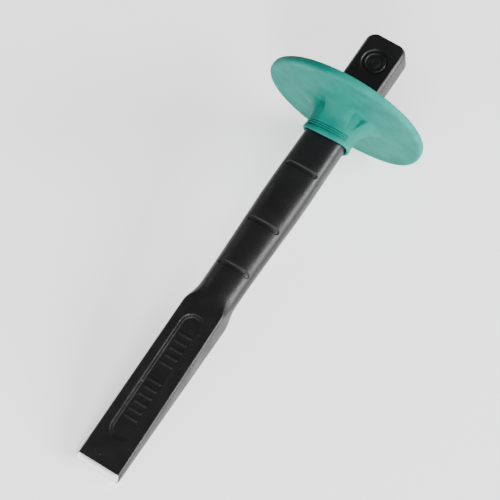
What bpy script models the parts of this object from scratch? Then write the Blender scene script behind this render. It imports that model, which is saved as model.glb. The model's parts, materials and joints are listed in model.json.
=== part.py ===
"""Flat cold chisel with a slip-on hand guard.

Two separate pieces: the forged steel chisel and the soft guard that is pushed on over its head.
Both are modelled in the tool's own frame, then laid down by one tilted parent:

    tool x   across the blade, to the right when the marked front faces the viewer
    tool y   through the thickness, out of the back; the marked front faces -y
    tool z   along the shank, from the cutting edge at 0 to the struck end at LENGTH

The tool rests on its back, on the guard's rim and the cutting edge. Metres, +Z up.
"""

from math import atan, atan2, cos, pi, radians, sin, tan

import bmesh
import bpy
from mathutils import Matrix, Vector

MM = 0.001
RUNNING_GAP = 0.3 * MM  # between the guard's bore and the steel

# Overall
LENGTH = 200 * MM
SIDE_DRAFT = 0.12 * MM  # the forged sides are this much proud along the middle parting line
EDGE_RADIUS = 0.5 * MM

# Blade: from the cutting edge to the shoulder
CUT_WIDTH = 18.5 * MM
CUT_THICKNESS = 4.3 * MM  # the blade's faces, run on to the cutting edge
BEVEL_HALF_ANGLE = radians(42)
SHOULDER_Z = 70 * MM
SHOULDER_WIDTH = 17.3 * MM
SHOULDER_THICKNESS = 11.8 * MM

# Grip: the round-cornered, barrel-shaped stretch that the hand holds
NECK_Z = 82 * MM
NECK_WIDTH = 16.0 * MM
NECK_THICKNESS = 11.9 * MM
NECK_RADIUS = 4.8 * MM
BELLY_Z = 125 * MM
BELLY_WIDTH = 17.4 * MM
BELLY_THICKNESS = 12.6 * MM
BELLY_RADIUS = 4.8 * MM
GRIP_TOP_Z = 152.3 * MM
GRIP_TOP_WIDTH = 16.6 * MM
GRIP_TOP_THICKNESS = 12.2 * MM
GRIP_TOP_RADIUS = 4.4 * MM

# Head: plain bar that the guard passes over, rounded across its struck end
HEAD_WIDTH = 17.0 * MM
HEAD_THICKNESS = 11.2 * MM
HEAD_RADIUS = 0.8 * MM
HEAD_END_RADIUS = 3.8 * MM
HEAD_END_CHAMFER = 0.6 * MM

# Sunk features of the front
PANEL_LENGTH = 55.0 * MM
PANEL_WIDTH = 10.0 * MM
PANEL_DEPTH = 0.6 * MM
PANEL_START_Z = 13.2 * MM
FINGER_SLOT_ZS = (91.0 * MM, 111.2 * MM, 137.4 * MM)
FINGER_SLOT_LENGTH = 14.4 * MM
FINGER_SLOT_WIDTH = 2.0 * MM
FINGER_SLOT_DEPTH = 1.4 * MM
BADGE_DIAMETER = 10.6 * MM
BADGE_DEPTH = 0.6 * MM
BADGE_FROM_END = 11.0 * MM

# Guard: a collar that flares into a round disc
GUARD_ABOVE_GRIP = 0.4 * MM  # the collar's mouth starts this far above the grip
GUARD_DIAMETER = 66.0 * MM
GUARD_HEIGHT = 17.5 * MM
GUARD_LEAN_BACK = radians(2.1)  # the soft guard sits a little askew on the shank
GUARD_LEAN_SIDE = radians(2.4)
COLLAR_WALL = 1.0 * MM
BEAD_PROUD = 0.25 * MM
BEAD_HEIGHT = 2.2 * MM
MOUTH_RISE = 1.0 * MM  # the collar's mouth is this much higher at its sides than front and back
COLLAR_HEIGHT = 4.8 * MM  # the flare begins here
FLARE_WIDTH = 8.5 * MM  # and ends this far outside the collar
DISC_THICKNESS = 2.8 * MM
RIM_HEIGHT = 3.4 * MM
RIM_FILLET = 1.2 * MM
RIM_WIDTH = 3.0 * MM
BOSS_WIDTH = 3.0 * MM
BORE_MOUTH_RADIUS = 2.2 * MM
COLLAR_SQUARENESS = 5.0  # superellipse exponent of the collar; 2 is a round
WEB_SINK = 0.45  # the flare is four webs: at the corners between them it is this much tighter
POCKET_ANGLE = radians(42)
POCKET_FACING = radians(62)  # each hollow looks more to the front or back than to the side
POCKET_WIDTH = 6.4 * MM
POCKET_REACH = 4.0 * MM  # how far the cutter reaches outward
POCKET_SHIFT = 1.2 * MM  # its top lies this far along from the collar's corner
POCKET_LEAN = 0.3 * MM  # and this far outside it
POCKET_FOOT = 0.2 * MM  # the hollow's foot starts this far above the collar
POCKET_HEAD = 1.1 * MM  # and its top stays this far below the disc

CORNER_STEPS = 6
GUARD_SIDES = 72


def clear_scene():
    for item in list(bpy.data.objects):
        bpy.data.objects.remove(item, do_unlink=True)


def make_material(name, color, roughness, metallic):
    material = bpy.data.materials.new(name)
    material.use_nodes = True
    shader = material.node_tree.nodes["Principled BSDF"]
    shader.inputs["Base Color"].default_value = (*color, 1.0)
    shader.inputs["Roughness"].default_value = roughness
    shader.inputs["Metallic"].default_value = metallic
    material.diffuse_color = (*color, 1.0)
    return material


def smooth(t):
    return t * t * (3 - 2 * t)


def bar_outline(half_width, half_thickness, radius, draft=0.0):
    """Rounded oblong, anticlockwise from +x, its sides swelling by draft at mid-thickness."""
    corner_x = half_width - draft - radius
    corner_y = half_thickness - radius
    points = []
    for quarter, (side_x, side_y) in enumerate(((1, 1), (-1, 1), (-1, -1), (1, -1))):
        if quarter % 2 == 0:
            points.append((side_x * half_width, 0.0))
        for step in range(CORNER_STEPS + 1):
            angle = (quarter + step / CORNER_STEPS) * pi / 2
            x = side_x * corner_x + radius * cos(angle)
            points.append((x, side_y * corner_y + radius * sin(angle)))
    return points


def level(outline, z):
    return [(x, y, z) for x, y in outline]


def skin(name, rings):
    """A closed solid through rings of points, lowest ring first."""
    mesh = bmesh.new()
    loops = [[mesh.verts.new(point) for point in ring] for ring in rings]
    for lower, upper in zip(loops, loops[1:]):
        for i in range(len(lower)):
            mesh.faces.new((lower[i - 1], lower[i], upper[i], upper[i - 1]))
    for end in (loops[0], loops[-1]):
        bmesh.ops.contextual_create(mesh, geom=end)
    bmesh.ops.recalc_face_normals(mesh, faces=mesh.faces)
    return finish_mesh(name, mesh)


def prism(name, outline, depth):
    """The outline in the x-z plane, carried from y = 0 to y = depth."""
    mesh = bmesh.new()
    face = mesh.faces.new([mesh.verts.new((x, 0.0, z)) for x, z in outline])
    carried = bmesh.ops.extrude_face_region(mesh, geom=[face])
    moved = [item for item in carried["geom"] if isinstance(item, bmesh.types.BMVert)]
    bmesh.ops.translate(mesh, verts=moved, vec=(0.0, depth, 0.0))
    bmesh.ops.recalc_face_normals(mesh, faces=mesh.faces)
    return finish_mesh(name, mesh)


def finish_mesh(name, mesh):
    data = bpy.data.meshes.new(name)
    mesh.to_mesh(data)
    mesh.free()
    item = bpy.data.objects.new(name, data)
    bpy.context.scene.collection.objects.link(item)
    return item


def slot_outline(length, width, steps=10):
    """A slot with round ends, along x, about the origin."""
    reach = (length - width) / 2
    points = []
    for side in (1, -1):
        for step in range(steps + 1):
            angle = side * (step / steps - 0.5) * pi if side > 0 else pi / 2 + step / steps * pi
            points.append((side * reach + width / 2 * cos(angle), width / 2 * sin(angle)))
    return points


def disc_outline(diameter, steps=32):
    angles = [2 * pi * i / steps for i in range(steps)]
    return [(diameter / 2 * cos(angle), diameter / 2 * sin(angle)) for angle in angles]


def cut_away(target, cutter):
    cutter.hide_render = True
    cutter.display_type = "WIRE"
    cutter.parent = target
    cut = target.modifiers.new("cut_" + cutter.name, "BOOLEAN")
    cut.operation = "DIFFERENCE"
    cut.object = cutter


# ---------------------------------------------------------------- the steel chisel

GUARD_Z = GRIP_TOP_Z + GUARD_ABOVE_GRIP
DISC_UNDER = GUARD_HEIGHT - RIM_HEIGHT  # height of the disc's lower face at the rim
SEAT_TOP_Z = GUARD_Z + DISC_UNDER  # where the grip has run out into the plain head
FACE_SLOPE = (SHOULDER_THICKNESS - CUT_THICKNESS) / 2 / SHOULDER_Z
BELOW_EDGE = -2 * MM  # the blank runs on past the cutting edge before it is ground

KEY_SECTIONS = [  # z, width, thickness, corner radius, draft, steps up to this one
    (BELOW_EDGE, CUT_WIDTH, CUT_THICKNESS + 2 * FACE_SLOPE * BELOW_EDGE, EDGE_RADIUS, SIDE_DRAFT, 0),
    (SHOULDER_Z, SHOULDER_WIDTH, SHOULDER_THICKNESS, EDGE_RADIUS, SIDE_DRAFT, 1),
    (NECK_Z, NECK_WIDTH, NECK_THICKNESS, NECK_RADIUS, 0.0, 8),
    (BELLY_Z, BELLY_WIDTH, BELLY_THICKNESS, BELLY_RADIUS, 0.0, 8),
    (GRIP_TOP_Z, GRIP_TOP_WIDTH, GRIP_TOP_THICKNESS, GRIP_TOP_RADIUS, 0.0, 6),
    (SEAT_TOP_Z, HEAD_WIDTH, HEAD_THICKNESS, HEAD_RADIUS, SIDE_DRAFT, 5),
    (LENGTH - HEAD_END_RADIUS, HEAD_WIDTH, HEAD_THICKNESS, HEAD_RADIUS, SIDE_DRAFT, 1),
]


def chisel_rings():
    rings = []
    for low, high in zip(KEY_SECTIONS, KEY_SECTIONS[1:]):
        for step in range(high[5]):
            width, thickness, radius, draft = section_between(low, high, smooth(step / high[5]))
            outline = bar_outline(width / 2, thickness / 2, radius, draft)
            rings.append(level(outline, low[0] + (high[0] - low[0]) * step / high[5]))
    return rings + head_end_rings()


def section_between(low, high, t):
    return [a + (b - a) * t for a, b in zip(low[1:5], high[1:5])]


def head_end_rings(steps=7):
    """The struck end: a quarter round across the width, and a small chamfer through the thickness."""
    rings = []
    for step in range(steps + 1):
        angle = step / steps * pi / 2
        z = LENGTH - HEAD_END_RADIUS * (1 - sin(angle))
        half_width = HEAD_WIDTH / 2 - HEAD_END_RADIUS * (1 - cos(angle))
        near_end = max(0.0, z - (LENGTH - HEAD_END_CHAMFER))
        half_thickness = HEAD_THICKNESS / 2 - near_end
        rings.append(level(bar_outline(half_width, half_thickness, HEAD_RADIUS, SIDE_DRAFT), z))
    return rings


def grind_edge(chisel):
    """Two ground bevels meet in the cutting edge at z = 0."""
    mesh = bmesh.new()
    mesh.from_mesh(chisel.data)
    for side in (-1, 1):
        outward = Vector((0.0, side * cos(BEVEL_HALF_ANGLE), -sin(BEVEL_HALF_ANGLE)))
        everything = mesh.verts[:] + mesh.edges[:] + mesh.faces[:]
        cut = bmesh.ops.bisect_plane(
            mesh, geom=everything, dist=1e-7, plane_co=(0, 0, 0), plane_no=outward, clear_outer=True
        )
        rim = [item for item in cut["geom_cut"] if isinstance(item, bmesh.types.BMEdge)]
        bmesh.ops.edgeloop_fill(mesh, edges=rim)
    bmesh.ops.recalc_face_normals(mesh, faces=mesh.faces)
    mesh.to_mesh(chisel.data)
    mesh.free()


def sink_front_features(chisel):
    proud = 2 * MM  # the cutters start this far outside the front
    panel_outline = [(x, z) for z, x in slot_outline(PANEL_LENGTH, PANEL_WIDTH, 14)]
    panel = prism("panel_cutter", panel_outline, proud + PANEL_DEPTH)
    middle_z = PANEL_START_Z + PANEL_LENGTH / 2
    face_y = -(CUT_THICKNESS / 2 + FACE_SLOPE * middle_z)
    panel.rotation_euler.x = atan(FACE_SLOPE)
    outward = Vector((0.0, -cos(atan(FACE_SLOPE)), -sin(atan(FACE_SLOPE))))
    panel.location = Vector((0.0, face_y, middle_z)) + outward * proud
    cut_away(chisel, panel)

    for number, z in enumerate(FINGER_SLOT_ZS, 1):
        outline = slot_outline(FINGER_SLOT_LENGTH, FINGER_SLOT_WIDTH)
        slot = prism(f"finger_slot_cutter_{number}", outline, proud + FINGER_SLOT_DEPTH)
        slot.location = (0.0, -(grip_thickness(z) / 2 + proud), z)
        cut_away(chisel, slot)

    badge = prism("badge_cutter", disc_outline(BADGE_DIAMETER), proud + BADGE_DEPTH)
    badge.location = (0.0, -(HEAD_THICKNESS / 2 + proud), LENGTH - BADGE_FROM_END)
    cut_away(chisel, badge)


def grip_thickness(z):
    for low, high in zip(KEY_SECTIONS, KEY_SECTIONS[1:]):
        if low[0] <= z <= high[0]:
            return section_between(low, high, smooth((z - low[0]) / (high[0] - low[0])))[1]
    return HEAD_THICKNESS


def make_chisel():
    chisel = skin("chisel_body", chisel_rings())
    grind_edge(chisel)
    sink_front_features(chisel)
    chisel.data.materials.append(make_material("black_painted_steel", (0.012, 0.012, 0.013), 0.35, 0.0))
    return chisel


# ---------------------------------------------------------------- the hand guard


def guard_outline(half_x, half_y, squareness):
    """A superellipse: the collar is a soft oblong, and the disc is a true round."""
    points = []
    for i in range(GUARD_SIDES):
        angle = 2 * pi * i / GUARD_SIDES
        reach = (abs(cos(angle)) / half_x) ** squareness + (abs(sin(angle)) / half_y) ** squareness
        points.append((reach ** (-1 / squareness) * cos(angle), reach ** (-1 / squareness) * sin(angle)))
    return points


BORE_X = max(GRIP_TOP_WIDTH, HEAD_WIDTH) / 2 + RUNNING_GAP
BORE_MOUTH_Y = GRIP_TOP_THICKNESS / 2 + RUNNING_GAP
BORE_TOP_Y = HEAD_THICKNESS / 2 + RUNNING_GAP
COLLAR_X = BORE_X + COLLAR_WALL
COLLAR_Y = BORE_MOUTH_Y + COLLAR_WALL
FLARE_TOP = DISC_UNDER - 0.5 * MM
BEAD_STEPS = 6
FLARE_STEPS = 8
FILLET_STEPS = 4


def collar_ring(height, proud):
    """One ring of the collar, lifted toward its sides as the mouth is."""
    outline = guard_outline(COLLAR_X + proud, COLLAR_Y + proud, COLLAR_SQUARENESS)
    ring = []
    for x, y in outline:
        rise = MOUTH_RISE * (1 - (y / (COLLAR_Y + proud)) ** 2) * (1 - height / COLLAR_HEIGHT)
        ring.append((x, y, GUARD_Z + height + rise))
    return ring


def flare_ring(angle):
    """One ring of the quarter round from the collar, at angle 0, out to the disc, at a right angle."""
    spread = 1 - cos(angle)
    squareness = COLLAR_SQUARENESS + (2 - COLLAR_SQUARENESS) * smooth(spread)
    half_y = COLLAR_Y + (COLLAR_X - COLLAR_Y) * spread
    height = GUARD_Z + COLLAR_HEIGHT + (FLARE_TOP - COLLAR_HEIGHT) * sin(angle)
    ring = []
    for x, y in guard_outline(COLLAR_X, half_y, squareness):
        turn = atan2(y, x)
        out = FLARE_WIDTH * spread * (1 - WEB_SINK * sin(2 * turn) ** 2)
        ring.append((x + out * cos(turn), y + out * sin(turn), height))
    return ring


def round_ring(radius, height):
    return level(guard_outline(radius, radius, 2), GUARD_Z + height)


def guard_rings():
    rim = GUARD_DIAMETER / 2
    rings = []
    for step in range(BEAD_STEPS + 1):  # the rolled bead at the collar's mouth
        angle = step / BEAD_STEPS * pi
        rings.append(collar_ring(BEAD_HEIGHT * (1 - cos(angle)) / 2, BEAD_PROUD * sin(angle)))
    for step in range(FLARE_STEPS + 1):
        rings.append(flare_ring(step / FLARE_STEPS * pi / 2))
    for corner_height, start in ((DISC_UNDER + RIM_FILLET, -pi / 2), (GUARD_HEIGHT - RIM_FILLET, 0.0)):
        for step in range(FILLET_STEPS + 1):  # the rim's two rounded corners
            angle = start + step / FILLET_STEPS * pi / 2
            height = corner_height + RIM_FILLET * sin(angle)
            rings.append(round_ring(rim - RIM_FILLET + RIM_FILLET * cos(angle), height))
    face = DISC_UNDER + DISC_THICKNESS
    recess = GUARD_HEIGHT - face
    boss = COLLAR_X + BOSS_WIDTH
    rings.append(round_ring(rim - RIM_WIDTH, GUARD_HEIGHT))
    rings.append(round_ring(rim - RIM_WIDTH - recess, face))
    rings.append(round_ring(boss + recess, face))
    rings.append(round_ring(boss, GUARD_HEIGHT))
    return rings


def bore_rings():
    """The bore clears the head and tapers with the seat, so the guard lifts off over the head."""
    below = 2 * MM
    mouth = bar_outline(BORE_X, BORE_MOUTH_Y, BORE_MOUTH_RADIUS)
    top = bar_outline(BORE_X, BORE_TOP_Y, HEAD_RADIUS)
    return [
        level(mouth, GUARD_Z - below),
        level(mouth, GUARD_Z + BEAD_HEIGHT),
        level(top, SEAT_TOP_Z),
        level(top, LENGTH),
    ]


def pocket_cutter(number, side_x, side_y):
    """A three-sided hollow under the disc at one corner of the collar, point down."""
    reach = corner_reach(POCKET_ANGLE)
    corner = Vector((reach * cos(POCKET_ANGLE), reach * sin(POCKET_ANGLE), 0.0))
    outward = Vector((cos(POCKET_FACING), sin(POCKET_FACING), 0.0))
    along = Vector((sin(POCKET_FACING), -cos(POCKET_FACING), 0.0))
    foot = corner + Vector((0.0, 0.0, GUARD_Z + COLLAR_HEIGHT + POCKET_FOOT))
    top = corner + outward * POCKET_LEAN + along * POCKET_SHIFT
    top.z = GUARD_Z + DISC_UNDER - POCKET_HEAD
    half = along * POCKET_WIDTH / 2
    inner = [foot, top + half, top - half]
    mesh = bmesh.new()
    outer = [point + outward * POCKET_REACH for point in inner]
    points = [mesh.verts.new(point) for point in inner + outer]
    bmesh.ops.convex_hull(mesh, input=points)
    bmesh.ops.scale(mesh, verts=mesh.verts, vec=(side_x, side_y, 1.0))
    bmesh.ops.recalc_face_normals(mesh, faces=mesh.faces)
    return finish_mesh(f"pocket_cutter_{number}", mesh)


def corner_reach(angle):
    x_share = (abs(cos(angle)) / COLLAR_X) ** COLLAR_SQUARENESS
    y_share = (abs(sin(angle)) / COLLAR_Y) ** COLLAR_SQUARENESS
    return (x_share + y_share) ** (-1 / COLLAR_SQUARENESS)


def set_askew(piece):
    """Slant the piece along the shank, so that its disc leans and its collar stays centred."""
    slant = Matrix.Identity(4)
    slant[2][0] = tan(GUARD_LEAN_SIDE)
    slant[2][1] = tan(GUARD_LEAN_BACK)
    piece.data.transform(slant)


def make_guard():
    guard = skin("hand_guard", guard_rings())
    set_askew(guard)
    cut_away(guard, skin("bore_cutter", bore_rings()))
    for number, (side_x, side_y) in enumerate(((1, 1), (-1, 1), (-1, -1), (1, -1)), 1):
        pocket = pocket_cutter(number, side_x, side_y)
        set_askew(pocket)
        cut_away(guard, pocket)
    guard.data.materials.append(make_material("teal_soft_rubber", (0.07, 0.36, 0.30), 0.6, 0.0))
    return guard


# ---------------------------------------------------------------- laying the tool down


def lowest(piece, lean):
    """Height of the piece's lowest point when the shank leans this far up from the table."""
    return min(vertex.co.z * sin(lean) - vertex.co.y * cos(lean) for vertex in piece.data.vertices)


def resting_lean(chisel, guard):
    """The shank's angle when the blade's end and the guard's rim both touch the table."""
    low, high = 0.0, pi / 4
    for _ in range(40):
        lean = (low + high) / 2
        if lowest(guard, lean) < lowest(chisel, lean):
            low = lean
        else:
            high = lean
    return lean


def lay_down(chisel, guard):
    frame = bpy.data.objects.new("tool_frame", None)
    bpy.context.scene.collection.objects.link(frame)
    chisel.parent = frame
    guard.parent = frame
    frame.rotation_euler.x = resting_lean(chisel, guard) - pi / 2
    bpy.context.view_layer.update()
    pieces = (chisel, guard)
    corners = [piece.matrix_world @ vertex.co for piece in pieces for vertex in piece.data.vertices]
    ys = [corner.y for corner in corners]
    frame.location = (0.0, -(min(ys) + max(ys)) / 2, -min(corner.z for corner in corners))


def round_off(piece):
    piece.data.shade_smooth()
    piece.data.set_sharp_from_angle(angle=radians(30))


clear_scene()
chisel_body = make_chisel()
hand_guard = make_guard()
for part in (chisel_body, hand_guard):
    round_off(part)
lay_down(chisel_body, hand_guard)
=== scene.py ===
"""Flat cold chisel with a slip-on hand guard: fine surfaces, finishes, light and camera.

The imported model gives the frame. Both of its solids are soft-edged here and carry the detail that
the plain solids lack: the sunk panel with its ribs, the finger slots, the badge, the ground edge,
and the guard's rolled lip, grooves, webs and hollows.

Both pieces are shaped in the tool's own frame and then laid down with it:

    tool x   across the blade, to the right when the marked front faces the viewer
    tool y   through the thickness, out of the back; the marked front faces -y
    tool z   along the shank, from the cutting edge at 0 to the struck end at LENGTH
"""

import json
from math import acos, asin, atan2, cos, exp, hypot, pi, radians, sin, tan

import bpy
from mathutils import Matrix, Quaternion, Vector


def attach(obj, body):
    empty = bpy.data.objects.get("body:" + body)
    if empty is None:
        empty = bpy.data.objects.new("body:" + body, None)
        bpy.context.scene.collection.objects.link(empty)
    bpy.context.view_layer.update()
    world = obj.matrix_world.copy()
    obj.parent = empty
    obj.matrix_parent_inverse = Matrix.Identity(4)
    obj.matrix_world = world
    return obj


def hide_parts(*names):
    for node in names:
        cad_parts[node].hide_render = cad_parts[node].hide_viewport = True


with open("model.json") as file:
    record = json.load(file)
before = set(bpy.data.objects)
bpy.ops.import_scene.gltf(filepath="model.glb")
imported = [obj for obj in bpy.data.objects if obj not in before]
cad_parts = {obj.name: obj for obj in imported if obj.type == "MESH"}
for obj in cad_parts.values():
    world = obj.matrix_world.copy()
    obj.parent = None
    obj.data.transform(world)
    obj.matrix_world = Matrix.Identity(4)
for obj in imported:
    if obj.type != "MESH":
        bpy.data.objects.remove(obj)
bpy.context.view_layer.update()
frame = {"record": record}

MM = 0.001
RUNNING_GAP = 0.3 * MM

# The steel: overall, blade, grip, head
LENGTH = 200 * MM
SIDE_DRAFT = 0.12 * MM  # the sides are this much proud along the parting line
EDGE_RADIUS = 0.7 * MM
EDGE_FLATNESS = 0.75  # 0 is a round corner, and 1 is a straight chamfer
CUT_WIDTH = 18.5 * MM
CUT_THICKNESS = 4.3 * MM
BEVEL_HALF_ANGLE = radians(42)
BEVEL_HEIGHT = 4 * MM  # the ground faces end below this height
GRINDING_STOCK = 4 * MM  # the blade is made this much longer, and ground back
SHOULDER_Z = 70 * MM
SHOULDER_WIDTH = 17.3 * MM
SHOULDER_THICKNESS = 11.8 * MM
CORNER_RUN = (71.0 * MM, 83.0 * MM)  # the blade's sharp corners give way to the grip's oval
NECK_Z = 82 * MM
NECK_WIDTH = 16.0 * MM
NECK_THICKNESS = 11.9 * MM
BELLY_Z = 125 * MM
BELLY_WIDTH = 17.4 * MM
BELLY_THICKNESS = 12.6 * MM
GRIP_TOP_Z = 152.3 * MM
GRIP_TOP_WIDTH = 16.6 * MM
GRIP_TOP_THICKNESS = 12.2 * MM
GRIP_RADIUS = 4.8 * MM
GRIP_TOP_RADIUS = 4.4 * MM
GRIP_SQUARENESS = (2.35, 3.2)  # low and high on the grip; 2 is an ellipse, and higher is squarer
SQUARENESS_RUN = (100 * MM, 150 * MM)
OVAL_END = (155 * MM, 164 * MM)  # the oval gives way to the head's corners
HEAD_LOW_Z = 166.6 * MM
HEAD_WIDTH = 17.0 * MM
HEAD_THICKNESS = 11.2 * MM
HEAD_RADIUS = 1.1 * MM
HEAD_END_RADIUS = 3.8 * MM
END_CLOSING = 0.98  # the head's rounded ends stop just short of a full quarter round

# The relief on the front
PANEL_ZONE_TOP = 70 * MM  # the panel is below this, and the slots are above it
SLOT_ZONE_TOP = 150 * MM  # the badge is above this
PANEL_LOW = 13.2 * MM
PANEL_HIGH = 68.2 * MM
PANEL_HALF_WIDTH = 5.0 * MM
PANEL_STEPS = ((0.0, 0.4 * MM), (1.0 * MM, 0.35 * MM))  # where each step starts, its depth
PANEL_WALL = 0.55 * MM
RIB_GROUPS = ((23.0 * MM, 6), (46.5 * MM, 5))  # first rib's place, number of ribs
RIB_PITCH = 3.2 * MM
RIB_HALF_LENGTH = 2.4 * MM
RIB_HALF_WIDTH = 0.5 * MM
RIB_HEIGHT = 0.3 * MM
RIB_FULLNESS = 0.35  # how flat a rib's top is
SLOT_ZS = (91.0 * MM, 111.2 * MM, 137.4 * MM)
SLOT_HALF_LENGTH = 6.8 * MM
SLOT_SHIFT = 0.4 * MM  # the slots sit a little to the right of the middle
SLOT_HALF_WIDTH = 1.25 * MM
SLOT_DEPTH = 0.62 * MM
SLOT_WALLS = (0.35 * MM, 0.95 * MM)  # the wall's width on the blade's and on the head's side
SLOT_ZONE = 2 * MM  # a slot ends within this of its middle
BADGE_Z = 189.0 * MM
BADGE_RADIUS = 5.4 * MM
BADGE_DEPTH = 0.6 * MM
BADGE_WALL = 0.5 * MM
BADGE_RING_RADIUS = 3.9 * MM
BADGE_RING_HEIGHT = 0.42 * MM
BADGE_RING_WALL = 0.5 * MM
BADGE_RING_FULLNESS = 1.3
BUTTON_RADIUS = 2.6 * MM
BUTTON_HEIGHT = 0.5 * MM
BUTTON_ROUNDING = 0.6  # the power that rounds its dome
DIMPLE_RADIUS = 1.2 * MM
DIMPLE_DEPTH = 0.35 * MM

# The guard
GUARD_Z = 152.7 * MM
GUARD_RADIUS = 33.0 * MM
GUARD_HEIGHT = 17.5 * MM
GUARD_LEAN_BACK = radians(2.1)
GUARD_LEAN_SIDE = radians(2.4)
RIM_SAG = 1.1 * MM  # the soft rim hangs a little here, outwards and towards the blade
RIM_SAG_TURN = radians(42)
RIM_SAG_SPREAD = radians(32)
RIM_SAG_OUTWARDS = 0.45  # how far it moves out for each length it hangs


def smooth(t):
    """0 to 1 with a gentle start and end."""
    t = min(1.0, max(0.0, t))
    return t * t * (3 - 2 * t)


def mix(a, b, t):
    return a + (b - a) * t


# ---------------------------------------------------------------- the tool's own frame


def tool_frame():
    """The struck end's middle and the shank's direction give the whole frame."""
    mounts = {mount["name"]: mount for mount in frame["record"]["mounts"]}
    along = Vector(mounts["striking_face"]["axis"]).normalized()
    across = Vector((1.0, 0.0, 0.0))
    back = along.cross(across)
    turned = Matrix((across, back, along)).transposed().to_4x4()
    edge = Vector(mounts["striking_face"]["pos_m"]) - along * LENGTH
    return Matrix.Translation(edge) @ turned


TOOL = tool_frame()


def pick_only(piece):
    bpy.ops.object.select_all(action="DESELECT")
    piece.select_set(True)
    bpy.context.view_layer.objects.active = piece


def lay_down(piece):
    """The finished mesh goes to its place, and the object stays at the origin."""
    piece.data.transform(TOOL)
    piece.data.update()


# ---------------------------------------------------------------- the steel chisel

SIZES = (  # z, width, thickness
    (SHOULDER_Z, SHOULDER_WIDTH, SHOULDER_THICKNESS),
    (NECK_Z, NECK_WIDTH, NECK_THICKNESS),
    (BELLY_Z, BELLY_WIDTH, BELLY_THICKNESS),
    (GRIP_TOP_Z, GRIP_TOP_WIDTH, GRIP_TOP_THICKNESS),
    (HEAD_LOW_Z, HEAD_WIDTH, HEAD_THICKNESS),
    (LENGTH, HEAD_WIDTH, HEAD_THICKNESS),
)
FACE_SLOPE = (SHOULDER_THICKNESS - CUT_THICKNESS) / 2 / SHOULDER_Z


def bar_size(z):
    """Width and thickness of the bar at this height."""
    if z < SHOULDER_Z:
        width = mix(CUT_WIDTH, SHOULDER_WIDTH, z / SHOULDER_Z)
        return width, CUT_THICKNESS + 2 * FACE_SLOPE * z
    for low, high in zip(SIZES, SIZES[1:]):
        if z <= high[0]:
            t = smooth((z - low[0]) / (high[0] - low[0]))
            return mix(low[1], high[1], t), mix(low[2], high[2], t)
    return HEAD_WIDTH, HEAD_THICKNESS


def passed(run, z):
    """How much of a run, from its start to its end, lies below this height: 0 to 1."""
    start, end = run
    return smooth((z - start) / (end - start))


def corner_radius(z):
    if z < NECK_Z:
        return mix(EDGE_RADIUS, GRIP_RADIUS, passed(CORNER_RUN, z))
    if z < GRIP_TOP_Z:
        return mix(GRIP_RADIUS, GRIP_TOP_RADIUS, passed((BELLY_Z, GRIP_TOP_Z), z))
    return mix(GRIP_TOP_RADIUS, HEAD_RADIUS, passed((GRIP_TOP_Z, HEAD_LOW_Z), z))


def roundness(z):
    """0 on the blade and the head, 1 along the grip."""
    return passed(CORNER_RUN, z) * (1 - passed(OVAL_END, z))


def squareness(z):
    return mix(*GRIP_SQUARENESS, passed(SQUARENESS_RUN, z))


FRONT_REACH = 0.8  # on the oval, the front's stops end at this share of the half width
SIDE_REACH = 0.5  # and the sides' stops end at this share of the half thickness
SQUARE_ON = 0.9999  # the sine or cosine of a direction that is square to the front or the side


def oval_stop(share_x, share_y, facing, power):
    """The same stop on the grip's oval section, as shares of its half width and half thickness."""
    if abs(sin(facing)) > SQUARE_ON:
        x = FRONT_REACH * share_x
        return x, share_y * (1 - abs(x) ** power) ** (1 / power)
    if abs(cos(facing)) > SQUARE_ON:
        y = SIDE_REACH * share_y
        return share_x * (1 - abs(y) ** power) ** (1 / power), y
    start, end = acos(FRONT_REACH ** (power / 2)), asin(SIDE_REACH ** (power / 2))
    turn = mix(end, start, atan2(abs(sin(facing)), abs(cos(facing))) / (pi / 2))
    return share_x * cos(turn) ** (2 / power), share_y * sin(turn) ** (2 / power)


HALF_BACK_STOPS, CORNER_STOPS, SIDE_STOPS, FRONT_STOPS = 11, 8, 10, 64
AROUND_THE_BAR = (  # number of stops, then where they start and end: corner x, corner y, degrees
    (HALF_BACK_STOPS, (0.0, 1.0, 90), (-1.0, 1.0, 90)),
    (CORNER_STOPS, (-1.0, 1.0, 90), (-1.0, 1.0, 180)),
    (SIDE_STOPS, (-1.0, 1.0, 180), (-1.0, -1.0, 180)),
    (CORNER_STOPS, (-1.0, -1.0, 180), (-1.0, -1.0, 270)),
    (FRONT_STOPS, (-1.0, -1.0, 270), (1.0, -1.0, 270)),
    (CORNER_STOPS, (1.0, -1.0, 270), (1.0, -1.0, 360)),
    (SIDE_STOPS, (1.0, -1.0, 360), (1.0, 1.0, 360)),
    (CORNER_STOPS, (1.0, 1.0, 360), (1.0, 1.0, 450)),
    (HALF_BACK_STOPS, (1.0, 1.0, 450), (0.0, 1.0, 450)),
)


def stations():
    """Stops around the bar: the corner's share in x and y, and the direction the surface faces."""
    stops = []
    for count, start, end in AROUND_THE_BAR:
        for step in range(count):
            share_x, share_y, degrees = (mix(a, b, step / count) for a, b in zip(start, end))
            stops.append((share_x, share_y, radians(degrees)))
    return stops


ROW_SPACINGS = (  # up to this height, rows this far apart, both in millimetres
    (12, 1.0), (19, 0.3), (62, 0.33), (69, 0.3),  # the blade and its panel
    (88.5, 0.5), (93.5, 0.2), (108.7, 0.7), (113.7, 0.2), (134.9, 0.7), (139.9, 0.2),  # the slots
    (151, 0.7), (182, 0.7), (195, 0.27), (200, 0.2),  # the seat, the badge and the struck end
)


def row_heights():
    """Heights of the rings, closer together where the front carries relief."""
    heights = [-GRINDING_STOCK]
    for end, spacing in ROW_SPACINGS:
        start = heights[-1]
        count = max(1, round((end * MM - start) / (spacing * MM)))
        heights += [mix(start, end * MM, (step + 1) / count) for step in range(count)]
    return heights


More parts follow.
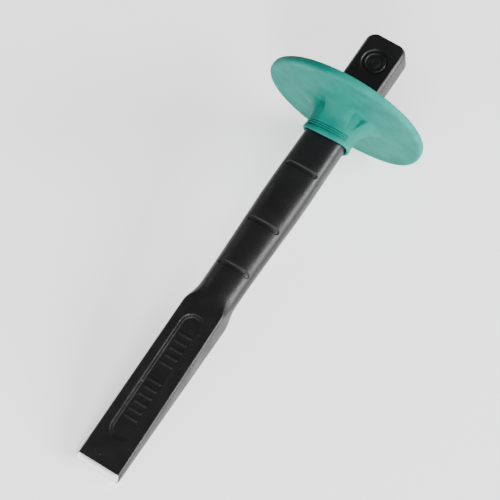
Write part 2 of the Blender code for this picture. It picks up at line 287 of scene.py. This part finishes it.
def pill_distance(x, z, reach_x, low_z, high_z, radius):
    """Distance inside a round-ended outline: positive inside, negative outside."""
    across = max(0.0, abs(x) - reach_x)
    along = max(0.0, low_z - z, z - high_z)
    return radius - hypot(across, along)


def panel_depth(x, z):
    """A round-ended panel that sinks in two steps, with groups of ribs in it."""
    low, high = PANEL_LOW + PANEL_HALF_WIDTH, PANEL_HIGH - PANEL_HALF_WIDTH
    edge = pill_distance(x, z, 0.0, low, high, PANEL_HALF_WIDTH)
    if edge <= 0:
        return 0.0
    depth = sum(drop * smooth((edge - start) / PANEL_WALL) for start, drop in PANEL_STEPS)
    for first, count in RIB_GROUPS:
        nearest = first + RIB_PITCH * min(count - 1, max(0, round((z - first) / RIB_PITCH)))
        rib = pill_distance(x, z, RIB_HALF_LENGTH, nearest, nearest, RIB_HALF_WIDTH)
        depth -= RIB_HEIGHT * smooth(rib / RIB_HALF_WIDTH + RIB_FULLNESS)
    return depth


def slot_depth(x, z):
    """Three finger slots across the grip."""
    for middle in SLOT_ZS:
        if abs(z - middle) < SLOT_ZONE:
            reach = SLOT_HALF_LENGTH - SLOT_HALF_WIDTH
            edge = pill_distance(x - SLOT_SHIFT, z, reach, middle, middle, SLOT_HALF_WIDTH)
            wall = mix(*SLOT_WALLS, smooth((z - middle) / SLOT_HALF_WIDTH + 0.5))
            return SLOT_DEPTH * smooth(edge / wall)
    return 0.0


def badge_depth(x, z):
    """A round recess with a raised ring and a low domed button in it."""
    out = hypot(x, z - BADGE_Z)
    if out > BADGE_RADIUS:
        return 0.0
    depth = BADGE_DEPTH * smooth((BADGE_RADIUS - out) / BADGE_WALL)
    ring = BADGE_RING_FULLNESS - abs(out - BADGE_RING_RADIUS) / BADGE_RING_WALL
    depth -= BADGE_RING_HEIGHT * smooth(ring)
    dome = max(0.0, 1 - (out / BUTTON_RADIUS) ** 2) ** BUTTON_ROUNDING
    dimple = max(0.0, 1 - (out / DIMPLE_RADIUS) ** 2)
    return depth - BUTTON_HEIGHT * dome + DIMPLE_DEPTH * dimple


def relief(x, z):
    """How deep the front is sunk here."""
    if z < PANEL_ZONE_TOP:
        return panel_depth(x, z)
    if z < SLOT_ZONE_TOP:
        return slot_depth(x, z)
    return badge_depth(x, z)


def flattened(share):
    """A round corner's sine or cosine, drawn most of the way to a 45 degree chamfer's."""
    straight = asin(min(1.0, abs(share))) / (pi / 2)
    return mix(abs(share), straight, EDGE_FLATNESS) * (1 if share > 0 else -1)


FRONT_FACING = -0.02  # a stop that faces further forward than this carries the relief


def end_round(z, radius):
    """How far the struck end's quarter round has drawn the surface in at this height."""
    drop = min(1.0, max(0.0, (z - (LENGTH - radius)) / radius))
    return radius * (1 - (1 - drop * drop) ** 0.5) * END_CLOSING


def bar_point(stop, z):
    """A point of the finished surface, with the front's relief sunk into it."""
    share_x, share_y, facing = stop
    width, thickness = bar_size(z)
    half_x = width / 2 - end_round(z, HEAD_END_RADIUS)
    half_y = thickness / 2 - end_round(z, HEAD_RADIUS)
    radius = corner_radius(z)
    x = share_x * (half_x - SIDE_DRAFT - radius) + radius * flattened(cos(facing))
    y = share_y * (half_y - radius) + radius * flattened(sin(facing))
    x += SIDE_DRAFT * (1 - abs(share_y)) * (1 if cos(facing) > 0 else -1)
    oval = roundness(z)
    if oval > 0:
        oval_x, oval_y = oval_stop(share_x, share_y, facing, squareness(z))
        x, y = mix(x, half_x * oval_x, oval), mix(y, half_y * oval_y, oval)
    if sin(facing) < FRONT_FACING:
        y += relief(x, z)
    return x, y, z


BEVEL_FACING = -0.6  # only the two bevels face this far down the tool
SHARP_ANGLE = radians(40)  # steeper edges than this stay sharp in the shading


def grind_edge(chisel):
    """Two ground bevels meet in the cutting edge."""
    bpy.ops.object.mode_set(mode="EDIT")
    for side in (-1, 1):
        bpy.ops.mesh.select_all(action="SELECT")
        bpy.ops.mesh.bisect(
            plane_co=(0, 0, 0),
            plane_no=(0, side * cos(BEVEL_HALF_ANGLE), -sin(BEVEL_HALF_ANGLE)),
            use_fill=False,
            clear_outer=True,
            threshold=1e-6,
        )
        bpy.ops.mesh.edge_face_add()
        bpy.ops.mesh.quads_convert_to_tris()  # the next cut needs simple faces
    bpy.ops.mesh.select_all(action="SELECT")
    bpy.ops.mesh.normals_make_consistent(inside=False)
    bpy.ops.object.mode_set(mode="OBJECT")
    for face in chisel.data.polygons:
        if face.center.z < BEVEL_HEIGHT and face.normal.z < BEVEL_FACING:
            face.material_index = 1  # ground steel


def make_chisel():
    """The steel, in one piece: a ball's rings become the bar's sections, and the edge is ground."""
    stops, heights = stations(), row_heights()
    around, rings = len(stops), len(heights) + 1
    bpy.ops.object.select_all(action="DESELECT")
    bpy.ops.mesh.primitive_uv_sphere_add(segments=around, ring_count=rings, radius=1.0)
    chisel = bpy.context.object
    chisel.name = "forged_chisel"
    for vertex in chisel.data.vertices:
        ring = round(acos(max(-1.0, min(1.0, -vertex.co.z))) / pi * rings)
        if ring in (0, rings):
            vertex.co = (0.0, 0.0, heights[0] if ring == 0 else LENGTH)
            continue
        stop = round(atan2(vertex.co.y, vertex.co.x) / (2 * pi) * around) % around
        vertex.co = bar_point(stops[stop], heights[ring - 1])
    chisel.data.materials.append(black_enamel())
    chisel.data.materials.append(ground_steel())
    pick_only(chisel)
    grind_edge(chisel)
    bpy.ops.object.shade_smooth_by_angle(angle=SHARP_ANGLE)
    lay_down(chisel)
    return chisel


# ---------------------------------------------------------------- the hand guard

# The collar, its rolled lip and bead; heights are from the mouth
COLLAR_X = 9.75 * MM
COLLAR_Y = 7.35 * MM
COLLAR_SQUARENESS = 2.7
COLLAR_TOP = 4.9 * MM
LIP_HEIGHT = 1.0 * MM
BEAD_PROUD = 0.3 * MM
BEAD_ROUNDING = 1.5  # the power that rounds the bead
BEAD_TOP = 2.2 * MM
MOUTH_RISE = 1.0 * MM
GROOVES = (2.7 * MM, 3.6 * MM, 4.5 * MM)
GROOVE_DEPTH = 0.68 * MM
GROOVE_HALF_WIDTH = 0.43 * MM
GROOVE_REACH = 8.8 * MM  # the grooves run out this far to each side
GROOVE_FADE = 1.2 * MM

# The flare from the collar to the disc, its webs and the hollows between them
FLARE_WIDTH = 8.6 * MM
FLARE_TOP = 13.6 * MM
WEB_SINK = 0.45  # how much narrower the flare is between the webs
POCKET_MIDDLE = radians(43)
POCKET_HALF_TURN = radians(17)
POCKET_FOOT = 4.9 * MM
POCKET_TOP = 13.2 * MM
POCKET_EDGE = 0.9 * MM
POCKET_NARROWING = 0.15  # the hollow is this much narrower at its top
POCKET_TOP_SLOPE = 2.0  # its top edge is this many times as steep as its sides
POCKET_DRAFT = 0.05  # the hollow's floor leans out by this much

# The disc; its reaches are from the tool's axis
DISC_UNDER = 14.1 * MM
RIM_FILLET = 1.25 * MM
FLARE_END = (19.5 * MM, 13.72 * MM)
UNDERSIDE_END = (29.0 * MM, 14.38 * MM)
UNDERSIDE_EDGE = ((29.8 * MM, 14.38 * MM), (30.6 * MM, 14.28 * MM), (31.2 * MM, 14.14 * MM))
HEAD_SIDE_REACHES = (28.6 * MM, 14.2 * MM)  # the sunk face runs between these
HEAD_SIDE_HEIGHT = 16.9 * MM
RIM_STEP = ((30.4, 0.0), (29.9, 0.05), (29.6, 0.3), (29.2, 0.55))  # reach and drop, millimetres
BOSS_STEP = ((13.6, 0.55), (13.2, 0.3), (12.9, 0.05), (12.5, 0.0))
BORE_EDGES = ((0.5 * MM, 0.0), (0.12 * MM, 0.12 * MM))  # out from the bore, down from the top
BORE_TOP_DROP = 0.4 * MM  # the bore's rings start this far below the disc's top
BORE_FOOT = 2.6 * MM  # and end this high above the mouth

# How finely the guard is drawn
AROUND_THE_GUARD = 300
UNDERSIDE_STOPS = 12
HEAD_SIDE_STOPS = 14
RIM_STOPS = 8
BORE_RINGS = 24
LIP_STOPS = 8
BEAD_STOPS = 5
WALL_STOPS = 36
FLARE_STOPS = 60


def oval_reach(turn, half_x, half_y, power):
    """How far out an oval's edge is in this direction."""
    x_share = (abs(cos(turn)) / half_x) ** power
    y_share = (abs(sin(turn)) / half_y) ** power
    return (x_share + y_share) ** (-1 / power)


def bore_reach(turn, z):
    """How far out the bore's wall is in this direction: the bar's own section and the gap."""
    width, thickness = bar_size(z)
    half_x, half_y = width / 2 + RUNNING_GAP, thickness / 2 + RUNNING_GAP
    radius = corner_radius(z) + RUNNING_GAP / 2
    run_x, run_y = abs(cos(turn)), abs(sin(turn))
    reach = min(half_x / max(run_x, 1e-9), half_y / max(run_y, 1e-9))
    corner_x, corner_y = half_x - radius, half_y - radius
    if reach * run_x > corner_x and reach * run_y > corner_y:
        along = corner_x * run_x + corner_y * run_y
        aside = corner_x * run_y - corner_y * run_x
        reach = along + max(0.0, radius ** 2 - aside ** 2) ** 0.5
    return mix(reach, oval_reach(turn, half_x, half_y, squareness(z)), roundness(z))


def collar_reach(turn):
    return oval_reach(turn, COLLAR_X, COLLAR_Y, COLLAR_SQUARENESS)


def mouth_rise(turn, height):
    """The mouth is higher at the sides than at front and back."""
    share = collar_reach(turn) * sin(turn) / COLLAR_Y
    return MOUTH_RISE * (1 - share ** 2) * max(0.0, 1 - height / COLLAR_TOP)


def groove(turn, height):
    """Depth of the grooves across the collar's front and back."""
    fade = smooth((GROOVE_REACH - abs(collar_reach(turn) * cos(turn))) / GROOVE_FADE)
    nearest = min(abs(height - middle) for middle in GROOVES)
    return GROOVE_DEPTH * fade * smooth(1 - nearest / GROOVE_HALF_WIDTH)


def pocket(turn, out, height):
    """1 inside a hollow between two webs, 0 outside."""
    away = abs(atan2(abs(sin(turn)), abs(cos(turn))) - POCKET_MIDDLE)
    up = min(1.0, max(0.0, (height - POCKET_FOOT) / (POCKET_TOP - POCKET_FOOT)))
    opening = POCKET_HALF_TURN * (1 - (1 - up) ** 2) ** 0.5 * (1 - POCKET_NARROWING * up)
    edge = min((opening - away) * out, (POCKET_TOP - height) * POCKET_TOP_SLOPE)
    return smooth(edge / POCKET_EDGE)


def flare_point(turn, angle):
    """The flare in this direction; the angle goes from 0 at the collar to a quarter turn."""
    spread = 1 - cos(angle)
    power = mix(COLLAR_SQUARENESS, 2.0, smooth(spread))
    base = oval_reach(turn, COLLAR_X, mix(COLLAR_Y, COLLAR_X, spread), power)
    out = base + FLARE_WIDTH * spread * (1 - WEB_SINK * sin(2 * turn) ** 2)
    height = mix(COLLAR_TOP, FLARE_TOP, sin(angle))
    wall = collar_reach(turn) + POCKET_DRAFT * (height - COLLAR_TOP)
    return mix(out, min(out, wall), pocket(turn, out, height)), height


def fillet(out, height, radius, start, steps):
    """Points of a quarter round about a centre, from the start angle on, in degrees."""
    turns = [radians(start + 90 * step / steps) for step in range(steps + 1)]
    return [(out + radius * cos(turn), height + radius * sin(turn)) for turn in turns]


def disc_profile():
    """From the flare's end under the disc, round the rim, over the disc's head side to the boss."""
    rim, top = GUARD_RADIUS, GUARD_HEIGHT
    points = []
    for step in range(UNDERSIDE_STOPS + 1):
        t = step / UNDERSIDE_STOPS
        out = mix(FLARE_END[0], UNDERSIDE_END[0], t)
        points.append((out, mix(FLARE_END[1], UNDERSIDE_END[1], smooth(t))))
    points += UNDERSIDE_EDGE
    points += fillet(rim - RIM_FILLET, DISC_UNDER + RIM_FILLET, RIM_FILLET, -90, RIM_STOPS)
    points += fillet(rim - RIM_FILLET, top - RIM_FILLET, RIM_FILLET, 0, RIM_STOPS)
    points += [(out * MM, top - drop * MM) for out, drop in RIM_STEP]
    for step in range(HEAD_SIDE_STOPS + 1):
        points.append((mix(*HEAD_SIDE_REACHES, step / HEAD_SIDE_STOPS), HEAD_SIDE_HEIGHT))
    points += [(out * MM, top - drop * MM) for out, drop in BOSS_STEP]
    return points


def disc_point(turn, point):
    """The disc is the same all round."""
    return point


def bore_edge_point(turn, edge):
    out, drop = edge
    return bore_reach(turn, GUARD_Z + GUARD_HEIGHT) + out, GUARD_HEIGHT - drop


def bore_point(turn, height):
    return bore_reach(turn, GUARD_Z + height), height


def lip_point(turn, angle):
    """The rolled lip, a half round from the bore to the collar."""
    inner = bore_reach(turn, GUARD_Z + LIP_HEIGHT)
    outer = collar_reach(turn) + BEAD_PROUD
    middle, half = (inner + outer) / 2, (outer - inner) / 2
    height = LIP_HEIGHT * (1 - sin(angle))
    return middle - half * cos(angle), height + mouth_rise(turn, height)


def bead_point(turn, angle):
    height = LIP_HEIGHT + (BEAD_TOP - LIP_HEIGHT) * sin(angle)
    out = collar_reach(turn) + BEAD_PROUD * cos(angle) ** BEAD_ROUNDING
    return out, height + mouth_rise(turn, height)


def wall_point(turn, height):
    return collar_reach(turn) - groove(turn, height), height + mouth_rise(turn, height)


def guard_profile():
    """The guard's rings in order: which function draws each one, and what it takes."""
    rings = []
    for step in range(BORE_RINGS):
        height = mix(GUARD_HEIGHT - BORE_TOP_DROP, BORE_FOOT, step / (BORE_RINGS - 1))
        rings.append((bore_point, height))
    rings += [(lip_point, step / LIP_STOPS * pi) for step in range(LIP_STOPS + 1)]
    rings += [(bead_point, step / BEAD_STOPS * pi / 2) for step in range(1, BEAD_STOPS + 1)]
    for step in range(1, WALL_STOPS + 1):
        rings.append((wall_point, mix(BEAD_TOP, COLLAR_TOP, step / WALL_STOPS)))
    rings += [(flare_point, step / FLARE_STOPS * pi / 2) for step in range(1, FLARE_STOPS + 1)]
    rings += [(disc_point, point) for point in disc_profile()]
    rings += [(bore_edge_point, edge) for edge in BORE_EDGES]
    return rings


def make_guard():
    """The guard, in one piece: a ring whose sections take the guard's profile."""
    rings = guard_profile()
    count = len(rings)
    bpy.ops.object.select_all(action="DESELECT")
    bpy.ops.mesh.primitive_torus_add(
        major_segments=AROUND_THE_GUARD, minor_segments=count, major_radius=1.0, minor_radius=0.25
    )
    guard = bpy.context.object
    guard.name = "moulded_guard"
    for vertex in guard.data.vertices:
        x, y, z = vertex.co
        turn = atan2(y, x)
        ring = round(atan2(z, hypot(x, y) - 1.0) / (2 * pi) * count) % count
        ring_point, detail = rings[-ring % count]  # the ring's own sections run the other way
        out, height = ring_point(turn, detail)
        sag = exp(-(((turn - RIM_SAG_TURN) / RIM_SAG_SPREAD) ** 2)) * (out / GUARD_RADIUS) ** 3
        out, height = out + RIM_SAG_OUTWARDS * RIM_SAG * sag, height - RIM_SAG * sag
        x, y = out * cos(turn), out * sin(turn)
        vertex.co = (x, y, GUARD_Z + height + x * tan(GUARD_LEAN_SIDE) + y * tan(GUARD_LEAN_BACK))
    guard.data.materials.append(moulded_rubber())
    pick_only(guard)
    bpy.ops.object.mode_set(mode="EDIT")
    bpy.ops.mesh.select_all(action="SELECT")
    bpy.ops.mesh.normals_make_consistent(inside=False)
    bpy.ops.object.mode_set(mode="OBJECT")
    bpy.ops.object.shade_smooth()
    lay_down(guard)
    return guard


# ---------------------------------------------------------------- finishes


def linear(hex_color):
    """An sRGB hex colour as the linear RGBA that shaders take."""
    values = [int(hex_color[i : i + 2], 16) / 255 for i in (1, 3, 5)]
    return [v / 12.92 if v <= 0.04045 else ((v + 0.055) / 1.055) ** 2.4 for v in values] + [1.0]


def socket(node, sockets, name):
    """The socket with this name that is in use; a Mix node has one for each kind of data."""
    return next(one for one in sockets if one.name == name and one.enabled)


def add_node(tree, kind, links=(), **settings):
    """Add a node, set its properties and sockets by name, and link (socket, from node, output)."""
    node = tree.nodes.new(kind)
    for name, value in settings.items():
        if hasattr(node, name):
            setattr(node, name, value)
    for name, value in settings.items():
        if not hasattr(node, name):
            socket(node, node.inputs, name.replace("_", " ")).default_value = value
    for name, source, output in links:
        tree.links.new(socket(source, source.outputs, output), socket(node, node.inputs, name))
    return node


# Sizes of the finishes' patterns, on the real tool
PEEL_SIZE = 0.67 * MM  # orange peel in the enamel
PEEL_HEIGHT = 0.2 * MM
WAVE_SIZE = 7.0 * MM  # hammer and die marks under the enamel
WAVE_HEIGHT = 0.4 * MM
SPECK_SIZE = 1.6 * MM  # from one speck of dust to the next
GRINDING_LINE_WIDTH = 0.15 * MM  # coarser than a real wheel's grit, so that the lines show
GRINDING_LINE_LENGTH = 6.0 * MM
GRINDING_LINE_DEPTH = 0.01 * MM
CLOUD_SIZE = 6.0 * MM  # handling marks on the rubber
GRAIN_SIZE = 0.67 * MM  # the mould's grain, drawn coarser than it is, so that it shows
GRAIN_HEIGHT = 0.1 * MM


def new_finish(name):
    """A material with its node tree and its shader."""
    material = bpy.data.materials.new(name)
    material.use_nodes = True
    return material, material.node_tree, material.node_tree.nodes["Principled BSDF"]


def black_enamel():
    """Baked black enamel over a forging: near black and satin.

    The eye gets a broad soft highlight broken up by orange peel, the forging's slight waviness,
    and a few pale specks of dust and scuffs."""
    material, tree, shader = new_finish("baked_black_enamel_on_forged_steel")
    shader.inputs["IOR"].default_value = 1.4
    place = add_node(tree, "ShaderNodeTexCoord")
    on_piece = [("Vector", place, "Object")]
    peel = add_node(tree, "ShaderNodeTexNoise", on_piece, Scale=1 / PEEL_SIZE, Detail=2.0)
    waves = add_node(tree, "ShaderNodeTexNoise", on_piece, Scale=1 / WAVE_SIZE, Detail=2.0)
    specks = add_node(tree, "ShaderNodeTexNoise", on_piece, Scale=1 / SPECK_SIZE, Detail=3.0)
    dust = add_node(
        tree, "ShaderNodeMapRange", [("Value", specks, "Fac")],
        From_Min=0.72, From_Max=0.8, To_Max=0.3,
    )
    tint = add_node(
        tree, "ShaderNodeMix", [("Factor", dust, "Result")],
        data_type="RGBA", A=linear("#101011"), B=linear("#8a8a88"),
    )
    sheen = add_node(
        tree, "ShaderNodeMapRange", [("Value", waves, "Fac")],
        From_Min=0.3, From_Max=0.7, To_Min=0.36, To_Max=0.48,
    )
    ripples = add_node(
        tree, "ShaderNodeBump", [("Height", waves, "Fac")], Strength=0.25, Distance=WAVE_HEIGHT
    )
    bump = add_node(
        tree, "ShaderNodeBump", [("Height", peel, "Fac"), ("Normal", ripples, "Normal")],
        Strength=0.4, Distance=PEEL_HEIGHT,
    )
    tree.links.new(socket(tint, tint.outputs, "Result"), shader.inputs["Base Color"])
    tree.links.new(sheen.outputs["Result"], shader.inputs["Roughness"])
    tree.links.new(bump.outputs["Normal"], shader.inputs["Normal"])
    return material


def ground_steel():
    """Tool steel ground on a wheel: bright and satin.

    The eye gets a white sheen and fine lines up the bevel, the way the wheel ran."""
    material, tree, shader = new_finish("wheel_ground_tool_steel")
    shader.inputs["Base Color"].default_value = linear("#dcdcda")
    shader.inputs["Metallic"].default_value = 1.0
    shader.inputs["Roughness"].default_value = 0.38
    place = add_node(tree, "ShaderNodeTexCoord")
    stretch = (1 / GRINDING_LINE_WIDTH, 1 / GRINDING_LINE_LENGTH, 1 / GRINDING_LINE_LENGTH)
    stretched = add_node(tree, "ShaderNodeMapping", [("Vector", place, "Object")], Scale=stretch)
    lines = add_node(
        tree, "ShaderNodeTexNoise", [("Vector", stretched, "Vector")], Scale=1.0, Detail=2.0
    )
    bump = add_node(
        tree, "ShaderNodeBump", [("Height", lines, "Fac")],
        Strength=0.3, Distance=GRINDING_LINE_DEPTH,
    )
    tree.links.new(bump.outputs["Normal"], shader.inputs["Normal"])
    return material


def moulded_rubber():
    """Injection-moulded soft rubber: matt teal.

    The eye gets a soft sheen, a fine moulded grain, and faint clouding where it was handled."""
    material, tree, shader = new_finish("moulded_teal_soft_rubber")
    shader.inputs["Roughness"].default_value = 0.65
    shader.inputs["Specular IOR Level"].default_value = 0.22
    place = add_node(tree, "ShaderNodeTexCoord")
    on_piece = [("Vector", place, "Object")]
    clouds = add_node(tree, "ShaderNodeTexNoise", on_piece, Scale=1 / CLOUD_SIZE, Detail=4.0)
    grain = add_node(tree, "ShaderNodeTexNoise", on_piece, Scale=1 / GRAIN_SIZE, Detail=2.0)
    cloud = add_node(
        tree, "ShaderNodeMapRange", [("Value", clouds, "Fac")], From_Min=0.3, From_Max=0.7
    )
    tint = add_node(
        tree, "ShaderNodeMix", [("Factor", cloud, "Result")],
        data_type="RGBA", A=linear("#046f63"), B=linear("#0b8275"),
    )
    bump = add_node(
        tree, "ShaderNodeBump", [("Height", grain, "Fac")], Strength=0.5, Distance=GRAIN_HEIGHT
    )
    tree.links.new(socket(tint, tint.outputs, "Result"), shader.inputs["Base Color"])
    tree.links.new(bump.outputs["Normal"], shader.inputs["Normal"])
    return material


# ---------------------------------------------------------------- table, light and camera


TABLE_SIZE = 6.0
TABLE_GLOW = 0.9
WORLD_STRENGTH = 0.18
CAMERA_AZIMUTH = radians(32.83)
CAMERA_ELEVATION = radians(58.85)
CAMERA_ROLL = radians(1.12)
CAMERA_DISTANCE = 0.950
CAMERA_AIM = Vector((0.0002, 0.0010, 0.020))
CAMERA_SENSOR = 36.0
CAMERA_LENS = 183.6


def make_table():
    """A matt white table top, with a low glow of its own that keeps it pale between the lights."""
    bpy.ops.object.select_all(action="DESELECT")
    bpy.ops.mesh.primitive_plane_add(size=TABLE_SIZE, location=(0, 0, 0))
    table = bpy.context.object
    table.name = "white_table"
    material, _, shader = new_finish("white_table_top")
    shader.inputs["Base Color"].default_value = linear("#f4f4f4")
    shader.inputs["Roughness"].default_value = 0.9
    shader.inputs["Emission Color"].default_value = linear("#ffffff")
    shader.inputs["Emission Strength"].default_value = TABLE_GLOW
    table.data.materials.append(material)


def direction(azimuth, elevation):
    """From the tool outwards. Azimuth 0 is in front, and a quarter turn is on the right."""
    return Vector(
        (sin(azimuth) * cos(elevation), -cos(azimuth) * cos(elevation), sin(elevation))
    )


def softbox(name, azimuth, elevation, distance, size, power):
    """A soft light, width by height, that looks at the tool. Angles are in degrees."""
    place = direction(radians(azimuth), radians(elevation)) * distance
    data = bpy.data.lights.new(name, "AREA")
    data.shape = "RECTANGLE"
    data.size, data.size_y = size
    data.energy = power
    lamp = bpy.data.objects.new(name, data)
    lamp.location = place
    lamp.rotation_euler = (-place).to_track_quat("-Z", "Y").to_euler()
    bpy.context.scene.collection.objects.link(lamp)


def light_the_table():
    world = bpy.data.worlds.new("dim_studio")
    world.use_nodes = True
    background = world.node_tree.nodes["Background"]
    background.inputs["Color"].default_value = linear("#ffffff")
    background.inputs["Strength"].default_value = WORLD_STRENGTH
    bpy.context.scene.world = world
    softbox("right_softbox", 104, 20, 2.0, (1.6, 0.9), 105)
    softbox("front_key", 34, 34, 2.0, (0.7, 0.7), 41)
    softbox("front_low_softbox", -18, 19, 2.0, (1.2, 0.8), 16)
    softbox("left_softbox", -95, 34, 2.4, (1.0, 0.8), 5)


def place_camera():
    away = direction(CAMERA_AZIMUTH, CAMERA_ELEVATION)
    data = bpy.data.cameras.new("camera")
    data.sensor_width = CAMERA_SENSOR
    data.lens = CAMERA_LENS
    camera = bpy.data.objects.new("camera", data)
    camera.location = CAMERA_AIM + away * CAMERA_DISTANCE
    turned = (-away).to_track_quat("-Z", "Y") @ Quaternion((0.0, 0.0, 1.0), CAMERA_ROLL)
    camera.rotation_euler = turned.to_euler()
    bpy.context.scene.collection.objects.link(camera)
    bpy.context.scene.camera = camera


# ---------------------------------------------------------------- the scene

chisel = make_chisel()
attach(chisel, "chisel")
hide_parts("chisel_body")

guard = make_guard()
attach(guard, "guard")
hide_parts("hand_guard")

make_table()
light_the_table()
place_camera()
